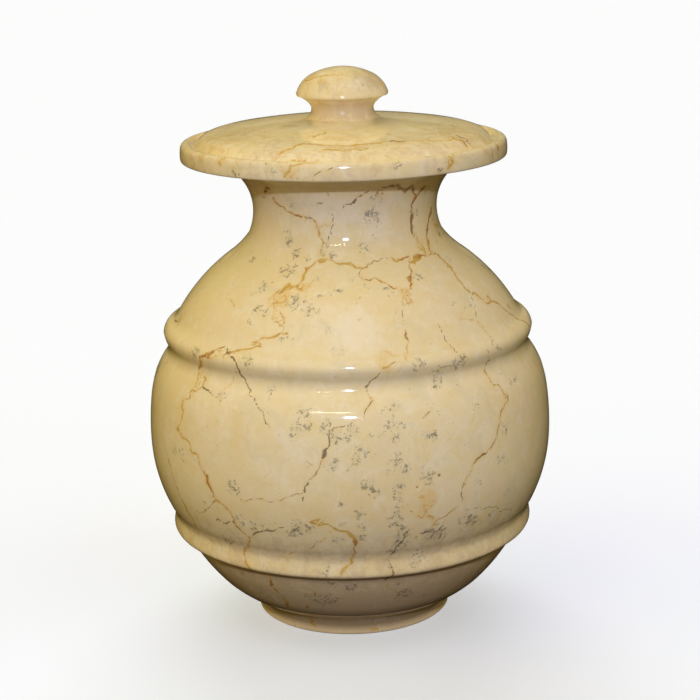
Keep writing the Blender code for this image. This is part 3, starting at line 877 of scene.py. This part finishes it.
def makeMarble(look):
    board = Board("polished_marble")
    ragged = board.noise(*grains["ragged"])
    shake = board.vector("SUBTRACT", board.noise(*grains["shake"], out="Color"), (0.5, 0.5, 0.5))
    ochre, pale, flecks = board.split(board.attribute("stains", "Vector"))
    base = mixStone(board, look)
    base = stainStone(board, look, base, ragged, shake, ochre, pale)
    base, core = veinStone(board, look, base, shake)
    base = fleckStone(board, look, base, ragged, flecks)
    dull = core * (look["veinRoughness"] - look["roughness"]) + look["roughness"]
    relief = board.node("ShaderNodeBump", {}, Strength=look["reliefStrength"], Distance=look["reliefDepth"],
                        Height=ragged + core * -look["veinDepth"])
    board.wear({"Base Color": base, "Roughness": dull, "Normal": relief, **look["shader"]})
    return board.material


marble = makeMarble(marbleLook)
print("marble mixed")
urnBody = makeBody()
urnLid = makeLid()
for piece, node in ((urnBody, "urn_body"), (urnLid, "lid")):
    piece.data.materials.append(marble)
    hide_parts(node)
    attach(piece, "root")


# Camera, floor and light: places and sizes in metres, angles in degrees

camera = {
    "place": (0, -0.9238, 0.3820),
    "down": 14.72,
    "roll": -1.38,
    "lens": 93.3,
    "film": 36,
    "shift": 0.0024,
}
floor = {
    "size": 14,
    "shader": {"Base Color": (0.515, 0.59, 0.91, 1), "Roughness": 1, "Specular IOR Level": 0,
               "Emission Color": (0.43, 0.43, 0.44, 1), "Emission Strength": 1},
}
suns = [
    # name, azimuth, height, width, strength
    ("ceiling", -10, 65, 40, (0.06, 0.03, 0.08)),
    ("leftWall", -105, 15, 60, (0.27, 0.165, 0.08)),
    ("leftCeiling", -60, 40, 60, (0.31, 0.29, 0.07)),
    ("leftBehind", -140, 40, 60, (0.13, 0.15, 0.08)),
    ("rightWall", 105, 15, 60, (0.175, 0.125, 0.03)),
    ("rightCeiling", 60, 40, 60, (0.25, 0.24, 0.17)),
    ("behind", 180, 35, 50, (0.70, 0.63, 0.46)),
    ("front", -5, 11, 22, (0.155, 0.098, 0.05)),
]
sunDistance = 3
# Lamps that leave the floor alone. The tube and the far wall are seen only as reflections.
lamps = {
    "flash": {"place": (0, -0.924, 0.525), "size": (0.07, 0.022), "watts": 5.6, "tint": (0.63, 0.67, 0.90)},
    "tube": {"place": (-0.24, -1.15, 0.86), "size": (0.50, 0.012), "watts": 0.9, "tint": (1.0, 0.84, 0.55),
             "reflectionOnly": True},
    "farWall": {"place": (0, 2.6, 0.45), "size": (1.8, 0.5), "watts": 0.7, "tint": (1.0, 0.85, 0.52),
                "reflectionOnly": True},
}
lampTarget = (0, 0, 0.14)
backdrop = (0.9, 0.9, 0.9, 1)


def setCamera():
    data = bpy.data.cameras.new("camera")
    data.lens, data.sensor_width, data.shift_x = camera["lens"], camera["film"], camera["shift"]
    eye = bpy.data.objects.new("camera", data)
    turn = Euler((math.radians(90 - camera["down"]), 0, 0)).to_matrix().to_4x4()
    roll = Matrix.Rotation(math.radians(camera["roll"]), 4, "Z")
    eye.matrix_world = Matrix.Translation(camera["place"]) @ turn @ roll
    bpy.context.scene.collection.objects.link(eye)
    bpy.context.scene.camera = eye


def layFloor():
    bm = bmesh.new()
    bmesh.ops.create_grid(bm, x_segments=1, y_segments=1, size=floor["size"] / 2)
    mesh = bpy.data.meshes.new("floor")
    bm.to_mesh(mesh)
    bm.free()
    ground = bpy.data.objects.new("floor", mesh)
    bpy.context.scene.collection.objects.link(ground)
    board = Board("pale_floor")
    board.wear(floor["shader"])
    mesh.materials.append(board.material)
    ground.visible_glossy = ground.visible_diffuse = False
    return ground


def hang(name, kind, place, target):
    lamp = bpy.data.objects.new(name, bpy.data.lights.new(name, kind))
    lamp.location = place
    lamp.rotation_euler = (Vector(target) - Vector(place)).to_track_quat("-Z", "Y").to_euler()
    bpy.context.scene.collection.objects.link(lamp)
    return lamp


def hangSuns():
    for name, azimuth, height, width, strength in suns:
        a, h = math.radians(azimuth), math.radians(height)
        toSun = Vector((math.sin(a) * math.cos(h), -math.cos(a) * math.cos(h), math.sin(h)))
        lamp = hang(name, "SUN", toSun * sunDistance, (0, 0, 0))
        lamp.data.angle = math.radians(width)
        brightest = max(strength)
        lamp.data.color, lamp.data.energy = [part / brightest for part in strength], brightest * math.pi
        lamp.visible_glossy = False


def hangLamps(ground):
    for name, look in lamps.items():
        lamp = hang(name, "AREA", look["place"], lampTarget)
        lamp.data.shape, (lamp.data.size, lamp.data.size_y) = "RECTANGLE", look["size"]
        lamp.data.energy, lamp.data.color = look["watts"], look["tint"]
        lamp.visible_diffuse = not look.get("reflectionOnly")
        spared = bpy.data.collections.new(name + "_spares")
        spared.objects.link(ground)
        lamp.light_linking.receiver_collection = spared
        spared.collection_objects[0].light_linking.link_state = "EXCLUDE"


def paintBackdrop():
    world = bpy.data.worlds.new("backdrop")
    world.use_nodes = True
    world.node_tree.nodes["Background"].inputs["Color"].default_value = backdrop
    world.cycles_visibility.diffuse = world.cycles_visibility.glossy = False
    bpy.context.scene.world = world
    bpy.context.scene.view_settings.view_transform = "Standard"


setCamera()
ground = layFloor()
hangSuns()
hangLamps(ground)
paintBackdrop()
print("camera, floor and lights set")
